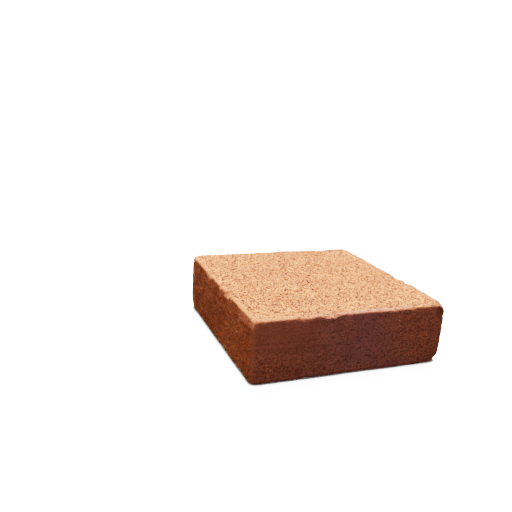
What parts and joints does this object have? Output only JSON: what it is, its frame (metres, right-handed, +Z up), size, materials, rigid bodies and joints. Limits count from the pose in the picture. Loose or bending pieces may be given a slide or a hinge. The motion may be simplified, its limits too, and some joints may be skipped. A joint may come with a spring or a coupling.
{
  "type": "coconut coir bale",
  "caption": "Square block of pressed coconut coir pith, lying flat: worn edges, crumbly broad faces and denser, faintly ledged sides.",
  "frame": {"origin": "centre of the underside, on the surface that the block rests on", "axes": "+Z up, square to the broad faces; +X and +Y along the sides; the side nearest the camera in the picture faces -Y"},
  "size_m": [0.3046, 0.3048, 0.094],
  "materials": {
    "pressed_coir": "matt, granular and fibrous"
  },
  "bodies": {
    "root": {"coir_block": "pressed_coir"}
  },
  "joints": []
}
